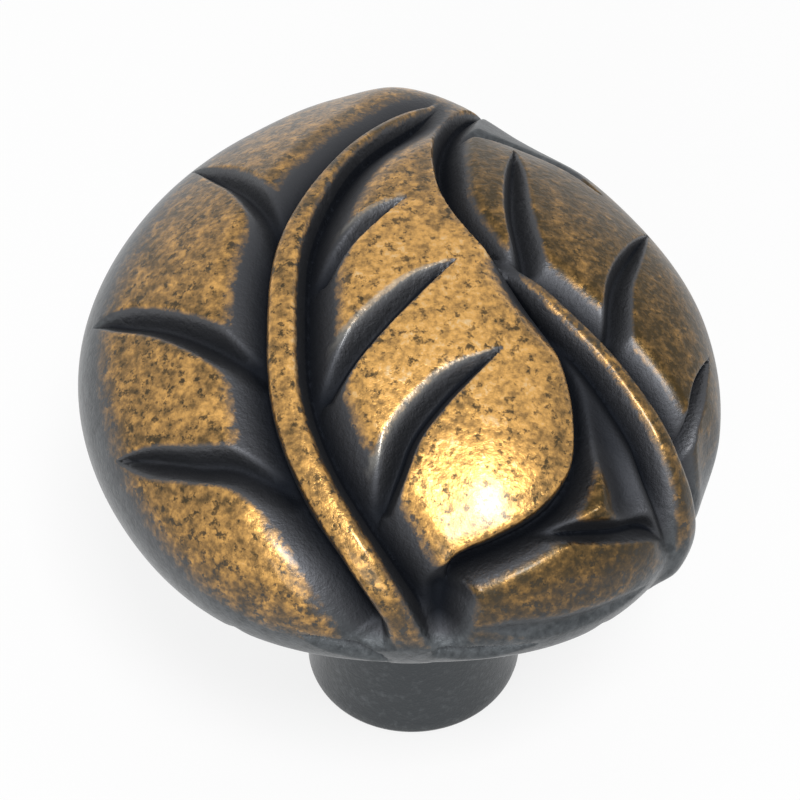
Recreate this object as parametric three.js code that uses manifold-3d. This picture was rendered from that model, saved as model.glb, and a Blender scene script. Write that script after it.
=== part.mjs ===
// A round cabinet knob cast in one piece: a domed head carved with two overlapping leaves, a short
// flared stem and a flat foot with a blind hole for the mounting screw.
// Millimetres. The origin is the centre of the foot's face, +Z points out of the door, and the
// stalk of the front leaf points to -Y.
import * as THREE from 'three';
import Module from 'manifold-3d';
import { mergeVertices } from 'three/addons/utils/BufferGeometryUtils.js';

// Head: a crown arc and a rim arc, a small lip, and a conical underside
const headRadius = 17.3;
const knobHeight = 35.6;
const crownRadius = 25;
const rimRadius = 6.4;
const rimTurn = 108;
const lipRadius = 0.8;
const undersideTurn = 150;

// Outline in plan: shares of the head radius every 30 degrees, counter-clockwise from +X
const planShares = [0.96, 0.89, 0.93, 1.085, 1.02, 0.99, 1, 1.015, 1.06, 1.07, 1.12, 1.045];

// Stem and foot
const neckRadius = 5.6;
const neckFillet = 3.5;
const footRadius = 6.35;
const footEdge = 0.4;

// Blind hole for an 8-32 screw, at its tapping size
const boreRadius = 1.73;
const boreDepth = 13;
const boreChamfer = 0.5;
const drillPointAngle = 118;
const boreSides = 24;

// Carving: how deep each kind of cut goes, and the half width of its round bottom
const veinDepth = 1.1;
const veinBottom = 0.35;
const ribValleyDepth = 1.45;
const ribValleyBottom = 0.3;
const leafEdgeDepth = 1.75;
const leafEdgeBottom = 0.35;
const recessDepth = 1.2;
const recessBottom = 1.3;
const gullyDepth = 1.5;
const gullyBottom = 0.9;
const creaseDepth = 1.1;
const creaseBottom = 0.3;
const marginDepth = 0.45;
const marginBottom = 0.15;
const rimHollowDepth = 0.6;
const rimHollowBottom = 0.2;

// Carving: the ribs, and how cuts meet. A higher ease makes a bank steeper at its foot.
const ribHalfWidth = 1.05;
const ribFlank = 0.15;
const ribFillet = 0.3;
const bankEase = 1.7;
const carvingBlend = 3;

// The leaf drawing is laid flat: x and y in drawing units from the crown, measured along the surface
// of a head whose widest line lies drawingRadius from the crown. It stretches with the head.
const drawingUnit = 1;
const drawingRadius = 21.7;

const vein = { depth: veinDepth, bottom: veinBottom };
const leafEdge = { depth: leafEdgeDepth, bottom: leafEdgeBottom };
const recess = { depth: recessDepth, bottom: recessBottom };
const gully = { depth: gullyDepth, bottom: gullyBottom };
const crease = { depth: creaseDepth, bottom: creaseBottom };
const margin = { depth: marginDepth, bottom: marginBottom };
const rimHollow = { depth: rimHollowDepth, bottom: rimHollowBottom };

// A cut follows its path. A point is [x, y, share of full depth and width]. Left and right are the
// widths of its two banks, seen along the path, in drawing units.
const cuts = [
  // Side veins of the front leaf's left half, from the rim to the midrib
  { ...vein, left: 1.25, right: 1.1, path: [
    [-11.9, 12, 0], [-9.9, 9.4, 0.75], [-8.3, 7, 0.95], [-7, 4.2, 1.1], [-6.3, 1.2, 1.2]] },
  { ...vein, left: 1.2, right: 1.1, path: [
    [-18, 0.6, 0], [-15.5, -0.6, 0.8], [-12.9, -2.2, 0.95], [-10.2, -4.3, 1.1], [-7.2, -7, 1.25]] },
  { ...vein, left: 1.2, right: 1.2, path: [
    [-16.6, -9, 0], [-14, -10, 0.85], [-11.2, -10.9, 1], [-8.7, -11.6, 1.1], [-5.9, -13.4, 1.25]] },
  // Side veins of its right half, each with a steep lower bank
  { ...vein, left: 0.6, right: 1.35, path: [
    [0.9, 3.3, 0], [-0.5, 2.1, 0.6], [-1.8, 0.8, 0.85], [-2.95, -0.5, 1.05], [-3.9, -1.9, 1.2]] },
  { ...vein, left: 0.6, right: 1.4, path: [
    [3.3, -1.3, 0], [1.5, -2.8, 0.65], [0.2, -4.1, 0.9], [-1.15, -5.5, 1], [-2.5, -7, 1.1],
    [-3.8, -8.7, 1.2]] },
  { ...vein, left: 0.6, right: 1.5, path: [
    [5.2, -6.3, 0], [3.1, -8.1, 0.7], [1.75, -9.5, 0.9], [0.4, -11.2, 1], [-0.35, -12.8, 1.1],
    [-1.2, -14.6, 1.2]] },
  // Side veins of the second leaf's right half
  { ...vein, left: 1.15, right: 1, path: [
    [7.5, 10.6, 0], [7.2, 7, 0.75], [6.9, 3, 1], [7, -1.2, 1.1]] },
  { ...vein, left: 1, right: 1, path: [
    [16.4, 6, 0], [14.2, 2.4, 0.7], [12.3, -1.2, 1], [11.3, -5.4, 1.15]] },
  { ...vein, left: 0.85, right: 0.8, path: [
    [18.4, -3.4, 0], [16.8, -6, 0.8], [16, -8.2, 1], [15.7, -10.6, 1.1]] },
  // Edge of the front leaf, standing over the second leaf, above and below the second leaf's rib
  { ...leafEdge, left: 2.2, right: 0.7, path: [
    [6.4, 18.2, 0.05], [5.6, 16.6, 0.25], [4.6, 14.9, 0.55], [3.7, 12.9, 0.8], [3.1, 10.7, 0.95],
    [2.8, 8.4, 1], [2.8, 6.2, 1], [3, 4, 0.9], [3.8, 1.6, 0.75], [5.2, -0.8, 0.6]] },
  { ...leafEdge, left: 1.4, right: 0.7, path: [
    [5.2, -0.8, 0.6], [6.9, -3.5, 0.75], [8.2, -6, 0.9], [8.8, -8.6, 1], [8.6, -11.5, 1],
    [7.8, -13.2, 1], [6.4, -14.7, 1], [4.5, -16, 1], [2.4, -17.2, 1]] },
  // The second leaf's margin
  { ...margin, left: 1.2, right: 0.35, path: [
    [3.2, 10.2, 0.6], [4.8, 11, 1], [6.8, 11.4, 1], [9, 11.1, 1], [11.2, 10, 0.8], [13.6, 8, 0]] },
  // Sunken left half of the second leaf, and the crease over its lower lobe
  { ...recess, left: 2.8, right: 2.8, path: [
    [8.6, -5.8, 0.55], [9.4, -7.4, 0.75], [10.2, -9.2, 0.95], [10.8, -11.2, 1], [11.3, -13, 1]] },
  { ...crease, left: 1, right: 0.6, path: [
    [5.6, -15.6, 0.5], [7, -15.3, 0.8], [8.6, -15.1, 0.95], [10.8, -14.9, 1], [13, -14.6, 1],
    [14.8, -15.2, 0]] },
  // Valley between the stalk and the lower lobe
  { ...gully, left: 1.9, right: 2.8, path: [
    [2.6, -17, 0.9], [1.95, -18.2, 1], [1.8, -19.5, 1], [1.9, -21.1, 0.5]] },
  // Crease under the lower lobe, and the hollows beside the stalk under the rim
  { ...margin, left: 0.5, right: 0.4, path: [
    [3.4, -20.6, 0.4], [5.4, -20.5, 1], [8.2, -20, 1], [11.6, -18.8, 0.8], [14.4, -17.4, 0]] },
  { ...rimHollow, left: 0.4, right: 1.3, path: [
    [-7, -20.7, 0], [-5.4, -21.2, 0.8], [-3.7, -21.9, 1], [-2.2, -22.8, 0.8]] },
  { ...rimHollow, left: 0.4, right: 1.2, path: [
    [1.4, -22.4, 0.6], [3.2, -22.2, 1], [5, -22, 0.9], [7.6, -21.5, 0]] },
];

// A rib stands in a valley. A point is [x, y, share of the rib's half width, height of its crest,
// share of the valley's depth]. Left and right are the widths of the valley's two banks, and the
// flanks say how boxy the rib is on either side.
const ribs = [
  { left: 3.1, right: 3, leftFlank: 4.5, rightFlank: 4.5, path: [
    [3.4, 16.8, 0.1, -0.5, 0.2], [2.2, 14.2, 0.22, -0.2, 0.6], [0.3, 11.4, 0.38, -0.1, 0.9],
    [-2.5, 7.7, 0.5, -0.1, 1], [-4.5, 3.9, 0.78, -0.1, 1], [-5.7, 0, 0.95, 0, 1],
    [-6.05, -4.5, 1.05, 0, 1], [-5.85, -8.9, 1.05, 0, 1], [-4.6, -12.9, 1.05, 0, 1],
    [-2.5, -16.8, 1.1, 0, 1], [-1, -19.7, 1.15, -0.05, 0.9], [-0.5, -21.4, 1.25, -0.05, 0],
    [-0.3, -23.4, 1.4, -0.05, 0]] },
  { left: 2, right: 1.9, leftFlank: 4.5, rightFlank: 2, path: [
    [4.8, -0.3, 0.15, -1.1, 0.1], [7, -2.5, 0.6, -0.3, 0.7], [8.7, -4.3, 0.8, -0.2, 0.9],
    [10.6, -6.2, 0.85, -0.15, 1], [12.1, -8.1, 0.95, -0.1, 1], [13.2, -9.7, 1.05, -0.05, 1],
    [14.3, -11.4, 1.2, 0, 1], [15.6, -13.2, 1.4, 0.2, 0.6], [16.8, -14.9, 1.45, 0.45, 0.1],
    [17.2, -16.6, 1.3, 0.5, 0], [16.4, -18.2, 0.9, 0.2, 0]] },
];

// A swell is a low round rise or a shallow dip: centre, radius and height, in drawing units
const swells = [
  { x: 10, y: -13.8, radius: 1.8, height: 0.5 },
  { x: 5.2, y: -12, radius: 5, height: 0.3 },
  { x: 1.5, y: 16, radius: 4.5, height: 0.35 },
  { x: 8.5, y: 13.5, radius: 5, height: -0.3 },
  { x: 18, y: -10, radius: 3.5, height: -0.5 },
];

// The carving fades out on the underside between these two distances of the drawing
const fadeStart = 24.6;
const fadeEnd = 27;

// Facets: spacing of points along the cuts and ribs and on open ground, the least gap between two,
// and a wobble that keeps four of them off one circle
const pathSpacing = 0.5;
const groundSpacing = 1.5;
const leastGap = 0.18;
const wobble = 1e-4;
const wobbleTurns = [13, 29];
const groundGap = 0.9;
const seamSides = 96;
const headTriangles = 9400;
const chordLimit = 0.004;
const shortestSide = 0.2;
const stepsPerSpan = 6;
const undersideSteps = 2;
const filletSteps = 5;
const flareSteps = 3;

// Lines of points beside a path: shares of a bank's width and of a rib's half width
const narrowBank = 0.9;
const narrowBankLines = [1, 0.5];
const bankLines = [1, 0.3, 0.62];
const ribLines = [1, 0.62, 0.84];

// Worked out from the dimensions above
const degree = Math.PI / 180;
const rimEnd = rimTurn * degree;
const lipEnd = undersideTurn * degree;
const onArc = (centre, radius, turn) => new THREE.Vector2(
  centre.x + radius * Math.sin(turn),
  centre.y + radius * Math.cos(turn));
const crownTurn = Math.asin((headRadius - rimRadius) / (crownRadius - rimRadius));
const crownCentre = new THREE.Vector2(0, knobHeight - crownRadius);
const rimCentre = onArc(crownCentre, crownRadius - rimRadius, crownTurn);
const lipCentre = onArc(rimCentre, rimRadius - lipRadius, rimEnd);
const lipFoot = onArc(lipCentre, lipRadius, lipEnd);
const filletTopRadius = neckRadius + neckFillet * (1 - Math.sin(lipEnd));
const filletTop = lipFoot.y + (lipFoot.x - filletTopRadius) * Math.tan(lipEnd);
const filletCentre = new THREE.Vector2(neckRadius + neckFillet, filletTop + neckFillet * Math.cos(lipEnd));
const flareHeight = filletCentre.y - footEdge;
const flareRun = footRadius - neckRadius;
const flareRadius = (flareHeight ** 2 + flareRun ** 2) / (2 * flareRun);
const flareTurn = Math.asin(flareHeight / flareRadius);

// Distances from the crown along the profile, to the end of each stretch
const wideArc = crownRadius * crownTurn + rimRadius * (Math.PI / 2 - crownTurn);
const lipArc = wideArc + rimRadius * (rimEnd - Math.PI / 2) + lipRadius * (lipEnd - rimEnd);
const undersideArc = lipArc - (lipFoot.x - filletTopRadius) / Math.cos(lipEnd);
const filletArc = undersideArc + neckFillet * (lipEnd - Math.PI / 2);
const flareArc = filletArc + flareRadius * flareTurn;
const drawingScale = wideArc / drawingRadius;
const seamArc = fadeEnd * drawingScale;

// Half profile of the plain knob, from the crown to the foot
function halfProfile() {
  const path = new THREE.Path();
  const spin = (turn) => Math.PI / 2 - turn;
  path.absarc(crownCentre.x, crownCentre.y, crownRadius, spin(0), spin(crownTurn), true);
  path.absarc(rimCentre.x, rimCentre.y, rimRadius, spin(crownTurn), spin(rimEnd), true);
  path.absarc(lipCentre.x, lipCentre.y, lipRadius, spin(rimEnd), spin(lipEnd), true);
  path.absarc(filletCentre.x, filletCentre.y, neckFillet, spin(lipEnd) + Math.PI, Math.PI, false);
  path.absarc(neckRadius + flareRadius, filletCentre.y, flareRadius, Math.PI, Math.PI + flareTurn, false);
  path.lineTo(footRadius - footEdge, 0);
  return path;
}

const profile = halfProfile();
const profileLength = profile.getLength();

// Outline in plan as a closed curve through the shares
const planCurve = new THREE.CatmullRomCurve3(
  planShares.map((share) => new THREE.Vector3(share, 0, 0)), true, 'catmullrom', 0.5);
function planShare(azimuth) {
  const turns = THREE.MathUtils.euclideanModulo(azimuth / (2 * Math.PI), 1);
  return planCurve.getPoint(turns).x;
}

// A path of the drawing in millimetres, as short straight steps with its other values between the points
function tracePath(path) {
  const curveOf = (points) => new THREE.CatmullRomCurve3(points, false, 'catmullrom', 0.5);
  const places = curveOf(path.map(([x, y, width]) => new THREE.Vector3(x, y, width)));
  const levels = curveOf(path.map((point) => new THREE.Vector3(point[3] ?? 0, point[4] ?? 0, 0)));
  const count = stepsPerSpan * (path.length - 1);
  const steps = [];
  for (let i = 0; i <= count; i++) {
    const place = places.getPoint(i / count);
    const level = levels.getPoint(i / count);
    steps.push({
      x: place.x * drawingUnit,
      y: place.y * drawingUnit,
      width: Math.max(place.z, 0),
      crest: level.x * drawingUnit,
      floor: Math.max(level.y, 0),
    });
  }
  return steps;
}

// Nearest place on a traced path: signed distance, left of the path positive, and the values there
function nearestOnPath(steps, x, y) {
  let best = { distance: Infinity };
  for (let i = 0; i + 1 < steps.length; i++) {
    const from = steps[i];
    const to = steps[i + 1];
    const runX = to.x - from.x;
    const runY = to.y - from.y;
    const along = ((x - from.x) * runX + (y - from.y) * runY) / (runX ** 2 + runY ** 2);
    const share = THREE.MathUtils.clamp(along, 0, 1);
    const awayX = x - from.x - share * runX;
    const awayY = y - from.y - share * runY;
    const distance = Math.hypot(awayX, awayY);
    if (distance < Math.abs(best.distance)) {
      const side = Math.sign(runX * awayY - runY * awayX) || 1;
      best = { distance: side * distance, from, to, share };
    }
  }
  const between = (name) => THREE.MathUtils.lerp(best.from[name], best.to[name], best.share);
  return { distance: best.distance, width: between('width'), crest: between('crest'), floor: between('floor') };
}

// Bank of a cut: 1 at its rounded bottom, steep beside it and easing out at the top
function bank(distance, width, bottom) {
  const reach = Math.hypot(distance, bottom) / width;
  return (Math.max(1 - reach, 0) / (1 - bottom / width)) ** bankEase;
}

const inMillimetres = ({ left, right }) => ({ left: left * drawingUnit, right: right * drawingUnit });
const tracedCuts = cuts.map((cut) => ({ ...cut, ...inMillimetres(cut), steps: tracePath(cut.path) }));
const tracedRibs = ribs.map((rib) => ({ ...rib, ...inMillimetres(rib), steps: tracePath(rib.path) }));

// Height of the carving over the plain head at a point of the drawing, in millimetres
function carving(x, y) {
  let sum = 0;
  for (const { depth, bottom, left, right, steps } of tracedCuts) {
    const near = nearestOnPath(steps, x, y);
    if (near.width > 0) {
      const width = (near.distance > 0 ? left : right) * near.width;
      sum += (depth * near.width * bank(near.distance, width, bottom * near.width)) ** carvingBlend;
    }
  }
  let crests = -Infinity;
  for (const { left, right, leftFlank, rightFlank, steps } of tracedRibs) {
    const near = nearestOnPath(steps, x, y);
    const isLeft = near.distance > 0;
    const halfWidth = ribHalfWidth * near.width;
    const away = Math.abs(near.distance);
    const floor = ribValleyDepth * near.floor;
    const slope = bank(Math.max(away - halfWidth, 0), isLeft ? left : right, ribValleyBottom);
    sum += (floor * slope) ** carvingBlend;
    if (away < halfWidth) {
      const flank = (away / halfWidth) ** (isLeft ? leftFlank : rightFlank);
      crests = Math.max(crests, near.crest - (near.crest + floor + ribFlank) * flank);
    }
  }
  let height = -(sum ** (1 / carvingBlend));
  for (const swell of swells) {
    const away = Math.hypot(x / drawingUnit - swell.x, y / drawingUnit - swell.y) / swell.radius;
    height += away < 1 ? swell.height * drawingUnit * (1 - away ** 2) ** 2 : 0;
  }
  const joint = Math.max(ribFillet - Math.abs(height - crests), 0);
  const fade = 1 - THREE.MathUtils.smoothstep(Math.hypot(x, y), fadeStart, fadeEnd);
  return (Math.max(height, crests) + joint ** 2 / (4 * ribFillet)) * fade;
}

// A point of the skin, by its distance from the crown along the profile and its azimuth
function skinPoint(arc, azimuth, rise = 0) {
  const share = Math.min(arc / profileLength, 1);
  const at = profile.getPoint(share);
  const along = profile.getTangent(share);
  const belowLip = THREE.MathUtils.clamp((at.x - neckRadius) / (lipFoot.x - neckRadius), 0, 1) ** 2;
  const weight = (at.x / headRadius) * (arc > lipArc ? belowLip : 1);
  const spread = 1 + (planShare(azimuth) - 1) * weight;
  const radius = (at.x - along.y * rise) * spread;
  return new THREE.Vector3(radius * Math.cos(azimuth), radius * Math.sin(azimuth), at.y + along.x * rise);
}

function headPoint({ x, y }) {
  return skinPoint(Math.hypot(x, y) * drawingScale, Math.atan2(y, x), carving(x, y));
}

// Places along a path at an even spacing, with the direction to its left
function stationsOf(steps) {
  const stations = [];
  for (let i = 0; i + 1 < steps.length; i++) {
    const run = Math.hypot(steps[i + 1].x - steps[i].x, steps[i + 1].y - steps[i].y);
    const start = stations.length ? stations.total : 0;
    stations.total = start + run;
    stations.push({ from: steps[i], to: steps[i + 1], start, run });
  }
  const count = Math.ceil(stations.total / pathSpacing);
  const places = [];
  for (let i = 0; i <= count; i++) {
    const along = (stations.total * i) / count;
    const { from, to, start, run } = stations.findLast((station) => station.start <= along);
    const share = (along - start) / run;
    const between = (name) => THREE.MathUtils.lerp(from[name], to[name], share);
    places.push({
      x: between('x'),
      y: between('y'),
      width: between('width'),
      leftX: (from.y - to.y) / run,
      leftY: (to.x - from.x) / run,
    });
  }
  return places;
}

// Points of the flat head: the seam first, then lines along the features, then rings on open ground
function headPoints() {
  const points = [];
  const cells = new Map();
  const cellOf = (value) => Math.floor(value / groundGap);
  const isFree = (x, y, gap) => {
    for (let i = -1; i <= 1; i++) {
      for (let j = -1; j <= 1; j++) {
        const close = cells.get(`${cellOf(x) + i} ${cellOf(y) + j}`) ?? [];
        if (close.some((point) => Math.hypot(point.x - x, point.y - y) < gap)) return false;
      }
    }
    return true;
  };
  const add = (x, y, gap) => {
    if (!isFree(x, y, gap)) return;
    const key = `${cellOf(x)} ${cellOf(y)}`;
    const point = new THREE.Vector2(x, y);
    points.push(point);
    cells.set(key, [...(cells.get(key) ?? []), point]);
  };
  const addRing = (reach, count, gap, turned = 0) => {
    for (let i = 0; i < count; i++) {
      const azimuth = (2 * Math.PI * (i + turned)) / count;
      add(reach * Math.cos(azimuth), reach * Math.sin(azimuth), gap);
    }
  };
  addRing(fadeEnd, seamSides, leastGap);
  const lipEdges = [lipArc - lipRadius * (lipEnd - rimEnd), lipArc].map((arc) => arc / drawingScale);
  const addLine = (places, offsetOf) => {
    for (const place of places) {
      const offset = offsetOf(place);
      const x = place.x + place.leftX * offset;
      const y = place.y + place.leftY * offset;
      if (Math.hypot(x, y) < fadeEnd - groundGap) add(x, y, leastGap);
    }
  };
  const ribPlaces = tracedRibs.map((rib) => ({ ...rib, places: stationsOf(rib.steps) }));
  const cutPlaces = tracedCuts.map((cut) => ({ ...cut, places: stationsOf(cut.steps) }));
  for (const { places } of ribPlaces) {
    for (const share of [0, ...ribLines]) {
      for (const side of [1, -1]) addLine(places, ({ width }) => side * share * ribHalfWidth * width);
    }
  }
  for (const { places } of cutPlaces) addLine(places, () => 0);
  for (const { left, right, places } of cutPlaces) {
    for (const bankWidth of [left, -right]) {
      const lines = Math.abs(bankWidth) < narrowBank ? narrowBankLines : bankLines;
      for (const share of lines) addLine(places, ({ width }) => share * bankWidth * width);
    }
  }
  for (const { left, right, places } of ribPlaces) {
    for (const share of [ribValleyBottom / left, ...bankLines]) {
      addLine(places, ({ width }) => ribHalfWidth * width + share * left);
      addLine(places, ({ width }) => -ribHalfWidth * width - share * right);
    }
  }
  for (const reach of lipEdges) addRing(reach, seamSides, groundGap / 2);
  for (let reach = lipEdges[0] - groundSpacing; reach > 0; reach -= groundSpacing) {
    addRing(reach, Math.round((2 * Math.PI * reach) / groundSpacing), groundGap, 0.5);
  }
  return points;
}

const edgeKey = (a, b) => Math.min(a, b) * 65536 + Math.max(a, b);
const sidesOf = ([a, b, c]) => [[a, b, c], [b, c, a], [c, a, b]];

// Delaunay triangles: each point in turn opens the triangles whose circles hold it
function triangulate(points) {
  const far = 40 * fadeEnd;
  const spots = points.map(({ x, y }, index) => ({
    x: x + wobble * Math.sin(wobbleTurns[0] * index),
    y: y + wobble * Math.sin(wobbleTurns[1] * index),
  }));
  const outer = spots.push({ x: -far, y: -far }, { x: far, y: -far }, { x: 0, y: far }) - 3;
  const makeFace = (a, b, c) => {
    const [one, two, three] = [a, b, c].map((index) => spots[index]);
    const [bx, by] = [two.x - one.x, two.y - one.y];
    const [cx, cy] = [three.x - one.x, three.y - one.y];
    const twice = 2 * (bx * cy - by * cx);
    const x = (cy * (bx ** 2 + by ** 2) - by * (cx ** 2 + cy ** 2)) / twice;
    const y = (bx * (cx ** 2 + cy ** 2) - cx * (bx ** 2 + by ** 2)) / twice;
    return { corners: [a, b, c], x: one.x + x, y: one.y + y, reach: x ** 2 + y ** 2 };
  };
  let faces = [makeFace(outer, outer + 1, outer + 2)];
  for (let index = 0; index < outer; index++) {
    const { x, y } = spots[index];
    const open = faces.filter((face) => (face.x - x) ** 2 + (face.y - y) ** 2 < face.reach);
    const sides = new Map();
    for (const { corners } of open) {
      for (const [a, b] of sidesOf(corners)) {
        const key = edgeKey(a, b);
        if (sides.has(key)) sides.delete(key);
        else sides.set(key, [a, b]);
      }
    }
    const opened = new Set(open);
    faces = faces.filter((face) => !opened.has(face));
    for (const [a, b] of sides.values()) faces.push(makeFace(a, b, index));
  }
  return faces.map((face) => face.corners).filter((corners) => corners.every((corner) => corner < outer));
}

// Cuts a face at its marked sides, the longest first
function splitFace(face, middles, lengthOf, out) {
  const marked = sidesOf(face).filter(([a, b]) => middles.has(edgeKey(a, b)));
  if (marked.length === 0) {
    out.push(face);
    return;
  }
  const [a, b, c] = marked.reduce((best, side) => (lengthOf(side) > lengthOf(best) ? side : best));
  const middle = middles.get(edgeKey(a, b));
  splitFace([a, middle, c], middles, lengthOf, out);
  splitFace([middle, b, c], middles, lengthOf, out);
}

// Adds triangles where the flat facets stray most from the carved surface, longest sides first
function carvedHead() {
  const points = headPoints();
  let faces = triangulate(points);
  const spots = points.map(headPoint);
  const strays = new Map();
  const lengthOf = ([a, b]) => points[a].distanceTo(points[b]);
  const strayOf = ([a, b]) => {
    if (lengthOf([a, b]) < 2 * shortestSide) return 0;
    const key = edgeKey(a, b);
    if (!strays.has(key)) {
      const gaps = [0.25, 0.5, 0.75].map((share) => {
        const carved = headPoint(points[a].clone().lerp(points[b], share));
        return carved.distanceTo(spots[a].clone().lerp(spots[b], share));
      });
      strays.set(key, Math.max(...gaps));
    }
    return strays.get(key);
  };
  while (faces.length < headTriangles) {
    const touching = new Map();
    faces.forEach((face, index) => {
      for (const side of sidesOf(face)) {
        const key = edgeKey(side[0], side[1]);
        touching.set(key, [...(touching.get(key) ?? []), { side, index }]);
      }
    });
    const inner = [...touching.values()].filter((uses) => uses.length === 2).map((uses) => uses[0].side);
    const worst = inner.reduce((most, side) => Math.max(most, strayOf(side)), 0);
    const wanted = inner.filter((side) => strayOf(side) > Math.max(worst / 2, chordLimit));
    if (wanted.length === 0) break;
    const marked = new Map();
    const mark = (side) => {
      const key = edgeKey(side[0], side[1]);
      if (marked.has(key)) return;
      marked.set(key, side);
      for (const { index } of touching.get(key)) {
        const open = sidesOf(faces[index]).filter(([a, b]) => touching.get(edgeKey(a, b)).length === 2);
        mark(open.reduce((best, other) => (lengthOf(other) > lengthOf(best) ? other : best)));
      }
    };
    wanted.sort((one, other) => strayOf(other) - strayOf(one));
    for (const side of wanted) {
      if (faces.length + 2 * marked.size >= headTriangles) break;
      mark(side);
    }
    const middles = new Map();
    for (const [key, [a, b]] of marked) {
      const point = points[a].clone().lerp(points[b], 0.5);
      middles.set(key, points.length);
      points.push(point);
      spots.push(headPoint(point));
    }
    const next = [];
    for (const face of faces) splitFace(face, middles, lengthOf, next);
    faces = next;
  }
  return { spots, faces };
}

// Distances along the profile of the rings from the seam to the foot
function lowerRings() {
  const stops = [seamArc, undersideArc, filletArc, flareArc, profileLength];
  const steps = [undersideSteps, filletSteps, flareSteps, 1];
  const arcs = [];
  steps.forEach((count, index) => {
    for (let i = 1; i <= count; i++) {
      arcs.push(THREE.MathUtils.lerp(stops[index], stops[index + 1], i / count));
    }
  });
  return arcs;
}

// The whole outer skin: carved head, underside, neck, stem and foot
function knobSkin() {
  const { spots, faces } = carvedHead();
  let ring = Array.from({ length: seamSides }, (_, i) => i);
  for (const arc of lowerRings()) {
    const next = ring.map((_, i) => spots.push(skinPoint(arc, (2 * Math.PI * i) / seamSides)) - 1);
    for (let i = 0; i < seamSides; i++) {
      const j = (i + 1) % seamSides;
      faces.push([ring[i], next[i], next[j]], [ring[i], next[j], ring[j]]);
    }
    ring = next;
  }
  const footCentre = spots.push(new THREE.Vector3()) - 1;
  ring.forEach((spot, i) => faces.push([spot, footCentre, ring[(i + 1) % seamSides]]));
  const geometry = new THREE.BufferGeometry().setFromPoints(spots);
  geometry.setIndex(faces.flat());
  return geometry;
}

// The blind hole with its chamfered mouth and the drill's point, reaching just past the foot's face
function boreTool() {
  const past = 0.5;
  const mouth = boreRadius + boreChamfer;
  const point = boreRadius / Math.tan((drillPointAngle / 2) * degree);
  const outline = [
    [0, -past], [mouth, -past], [mouth, 0], [boreRadius, boreChamfer], [boreRadius, boreDepth],
    [0, boreDepth + point],
  ];
  const geometry = new THREE.LatheGeometry(outline.map(([x, y]) => new THREE.Vector2(x, y)), boreSides);
  geometry.rotateX(Math.PI / 2);
  return geometry;
}

const wasm = await Module();
wasm.setup();

function toSolid(geometry) {
  const bare = geometry.clone();
  bare.deleteAttribute('normal');
  bare.deleteAttribute('uv');
  const merged = mergeVertices(bare);
  return new wasm.Manifold(new wasm.Mesh({
    numProp: 3,
    vertProperties: new Float32Array(merged.attributes.position.array),
    triVerts: new Uint32Array(merged.index.array),
  }));
}

function toGeometry(solid) {
  const mesh = solid.getMesh();
  const geometry = new THREE.BufferGeometry();
  geometry.setAttribute('position', new THREE.BufferAttribute(mesh.vertProperties, 3));
  geometry.setIndex(new THREE.BufferAttribute(mesh.triVerts, 1));
  geometry.computeVertexNormals();
  return geometry;
}

// Zinc casting, brass-plated, darkened and rubbed back on the high ground
const antiqueBrass = new THREE.MeshStandardMaterial({ color: 0x8f6d38, roughness: 0.45, metalness: 0.9 });

const knob = new THREE.Mesh(toGeometry(toSolid(knobSkin()).subtract(toSolid(boreTool()))), antiqueBrass);
knob.name = 'knob';

const group = new THREE.Group();
group.add(knob);

export default group;
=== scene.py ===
# Cast cabinet knob with two carved leaves, in rubbed antique brass over zinc
import math

import bmesh
import bpy
import numpy as np
from mathutils import Matrix, Vector


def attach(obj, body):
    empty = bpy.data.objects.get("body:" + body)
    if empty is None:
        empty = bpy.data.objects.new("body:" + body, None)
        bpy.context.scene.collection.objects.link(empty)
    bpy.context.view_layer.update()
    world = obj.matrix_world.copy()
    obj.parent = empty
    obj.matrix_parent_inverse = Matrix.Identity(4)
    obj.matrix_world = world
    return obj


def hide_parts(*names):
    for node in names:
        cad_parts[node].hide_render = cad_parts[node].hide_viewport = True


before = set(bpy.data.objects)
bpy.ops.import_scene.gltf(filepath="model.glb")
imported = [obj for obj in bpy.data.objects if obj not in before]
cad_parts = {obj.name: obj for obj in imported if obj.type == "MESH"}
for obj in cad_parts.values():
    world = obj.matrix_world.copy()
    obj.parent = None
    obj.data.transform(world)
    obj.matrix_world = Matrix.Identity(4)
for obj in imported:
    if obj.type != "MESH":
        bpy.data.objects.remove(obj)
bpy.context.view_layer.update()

mm = 0.001
tiny = 1e-6  # keeps a width off zero and a corner in its own sector

# The plain knob, in millimetres and degrees. The outline in plan is a share of the head radius
# every 30 degrees, counter-clockwise from +X
knobForm = {
    "headRadius": 17.3, "knobHeight": 35.6, "crownRadius": 25, "rimRadius": 6.4, "rimTurn": 108,
    "lipRadius": 0.8, "undersideTurn": 150, "neckRadius": 5.6, "neckFillet": 3.5,
    "footRadius": 6.35, "footEdge": 0.4,
    "boreRadius": 1.73, "boreDepth": 13, "boreChamfer": 0.5, "drillPointAngle": 118,
    "threadPitch": 0.794, "threadDepth": 0.35,
    "planShares": [0.96, 0.89, 0.93, 1.085, 1.02, 0.99, 1, 1.015, 1.06, 1.07, 1.12, 1.045],
    "planSteps": 30,
}

# Carving: how round its edges are and where it fades out, in millimetres of the leaf drawing
carvingForm = {
    "ribHalfWidth": 1.05, "ribFlank": 0.15, "ribFillet": 0.3, "leastShare": 0.001,
    "drawingRadius": 21.7, "fadeStart": 24.6, "fadeEnd": 27, "stepsPerSpan": 8,
}

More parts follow.
